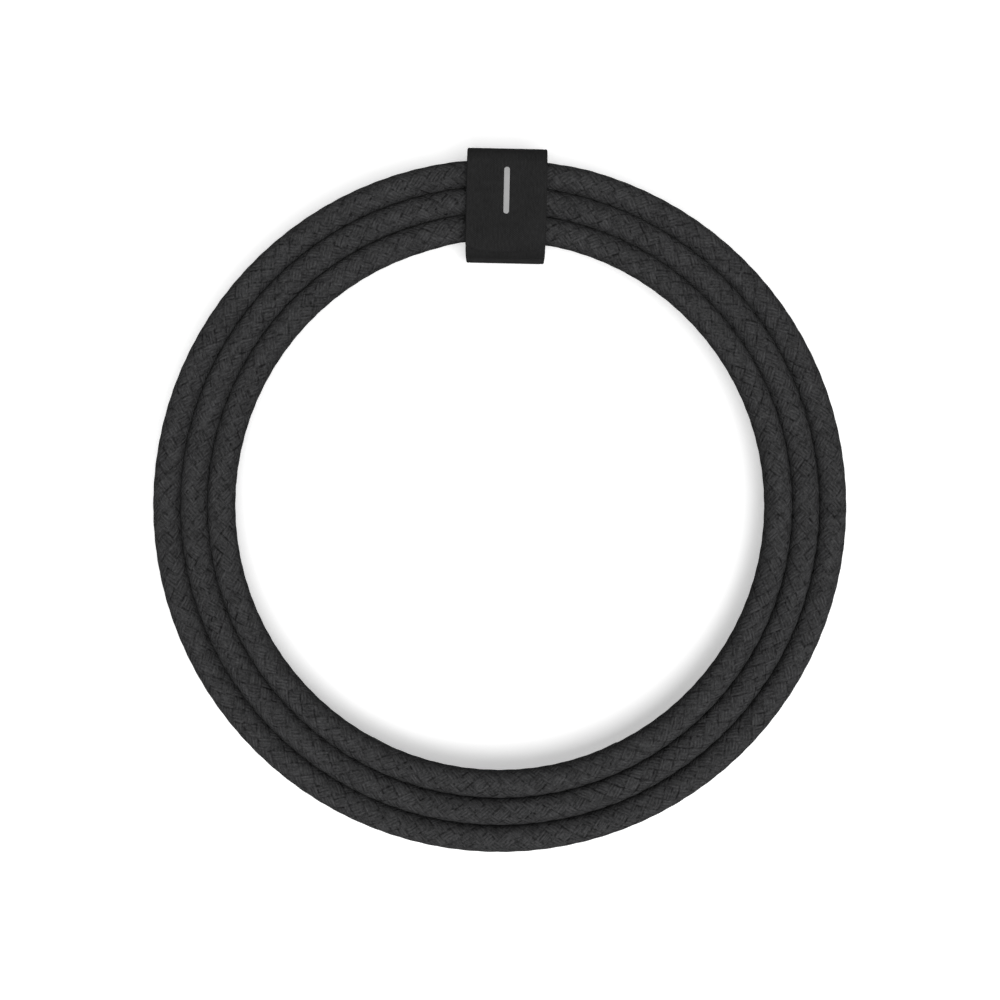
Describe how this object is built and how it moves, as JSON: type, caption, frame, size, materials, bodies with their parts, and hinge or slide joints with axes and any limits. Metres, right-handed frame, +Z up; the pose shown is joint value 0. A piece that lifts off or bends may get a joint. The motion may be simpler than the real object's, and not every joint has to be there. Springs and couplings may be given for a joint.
{
  "type": "charging cable",
  "caption": "Coiled braided charging cable with a reversible oval plug on each end, held by a wrap-round hook-and-loop strap.",
  "frame": {"origin": "on the surface the cable lies on, under the middle of the bounding box", "axes": "+Z up, +Y from the coil towards its strap, +X to the right seen from above"},
  "size_m": [0.1354, 0.1374, 0.0142],
  "materials": {
    "cable_braid": "dark grey mottled polyester braid, matt",
    "plug_moulding": "fine satin texture",
    "boot_rubber": "soft matt",
    "inner_jacket": "smooth matt",
    "shell_steel": "nickel plated, satin",
    "can_steel": "tin plated, dull",
    "spring_steel": "bright",
    "crimp_metal": "nickel plated, rolled",
    "contact_plating": "gold plated",
    "insulator": "moulded",
    "inner_moulding": "cloudy, waxy",
    "board": "solder mask",
    "chip": "moulded",
    "capacitor_ceramic": "fired, with metal ends",
    "wire_red": "extruded",
    "wire_black": "extruded",
    "wire_green": "extruded",
    "wire_white": "extruded",
    "wire_blue": "extruded",
    "strap_fabric": "smooth black woven tape, matt",
    "strap_pile": "soft loops",
    "strap_hooks": "moulded hooks",
    "strap_print": "light grey raised print"
  },
  "bodies": {
    "cable": {"cable_coil": "cable_braid", "lead_a": "cable_braid", "lead_b": "cable_braid", "plug_a_capacitors": "capacitor_ceramic", "plug_a_circuit_board": "board", "plug_a_crimp_collar": "crimp_metal", "plug_a_ground_springs": "spring_steel", "plug_a_housing": "plug_moulding", "plug_a_inner_jacket": "inner_jacket", "plug_a_inner_mould": "inner_moulding", "plug_a_insulator": "insulator", "plug_a_latch_springs": "spring_steel", "plug_a_lower_contacts": "contact_plating", "plug_a_marker_chip": "chip", "plug_a_shell": "shell_steel", "plug_a_shield_can": "can_steel", "plug_a_strain_relief": "boot_rubber", "plug_a_upper_contacts": "contact_plating", "plug_a_wire_control": "wire_blue", "plug_a_wire_data_minus": "wire_white", "plug_a_wire_data_plus": "wire_green", "plug_a_wire_ground": "wire_black", "plug_a_wire_power": "wire_red", "plug_b_capacitors": "capacitor_ceramic", "plug_b_circuit_board": "board", "plug_b_crimp_collar": "crimp_metal", "plug_b_ground_springs": "spring_steel", "plug_b_housing": "plug_moulding", "plug_b_inner_jacket": "inner_jacket", "plug_b_inner_mould": "inner_moulding", "plug_b_insulator": "insulator", "plug_b_latch_springs": "spring_steel", "plug_b_lower_contacts": "contact_plating", "plug_b_shell": "shell_steel", "plug_b_shield_can": "can_steel", "plug_b_strain_relief": "boot_rubber", "plug_b_upper_contacts": "contact_plating", "plug_b_wire_control": "wire_blue", "plug_b_wire_data_minus": "wire_white", "plug_b_wire_data_plus": "wire_green", "plug_b_wire_ground": "wire_black", "plug_b_wire_power": "wire_red"},
    "strap": {"strap_band": "strap_fabric", "strap_loop_pile": "strap_pile"},
    "strap_closure": {"strap_flap": "strap_fabric", "strap_hook_patch": "strap_hooks", "strap_mark": "strap_print"},
    "pull_tab": {"strap_tip": "strap_fabric"}
  },
  "joints": [
    {"name": "strap_slide", "type": "hinge", "parent": "cable", "child": "strap", "pos_m": [0, -0.00093, 0], "axis": [0, 0, 1], "range_deg": [-12, 12]},
    {"name": "flap_peel", "type": "hinge", "parent": "strap", "child": "strap_closure", "pos_m": [0.00152, 0.06851, 0.0075], "axis": [-0.9998, 0.0218, 0], "range_deg": [0, 160]},
    {"name": "tab_lift", "type": "hinge", "parent": "strap_closure", "child": "pull_tab", "pos_m": [0.0012, 0.05396, 0.0141], "axis": [-0.9998, 0.0218, 0], "range_deg": [0, 70]}
  ]
}
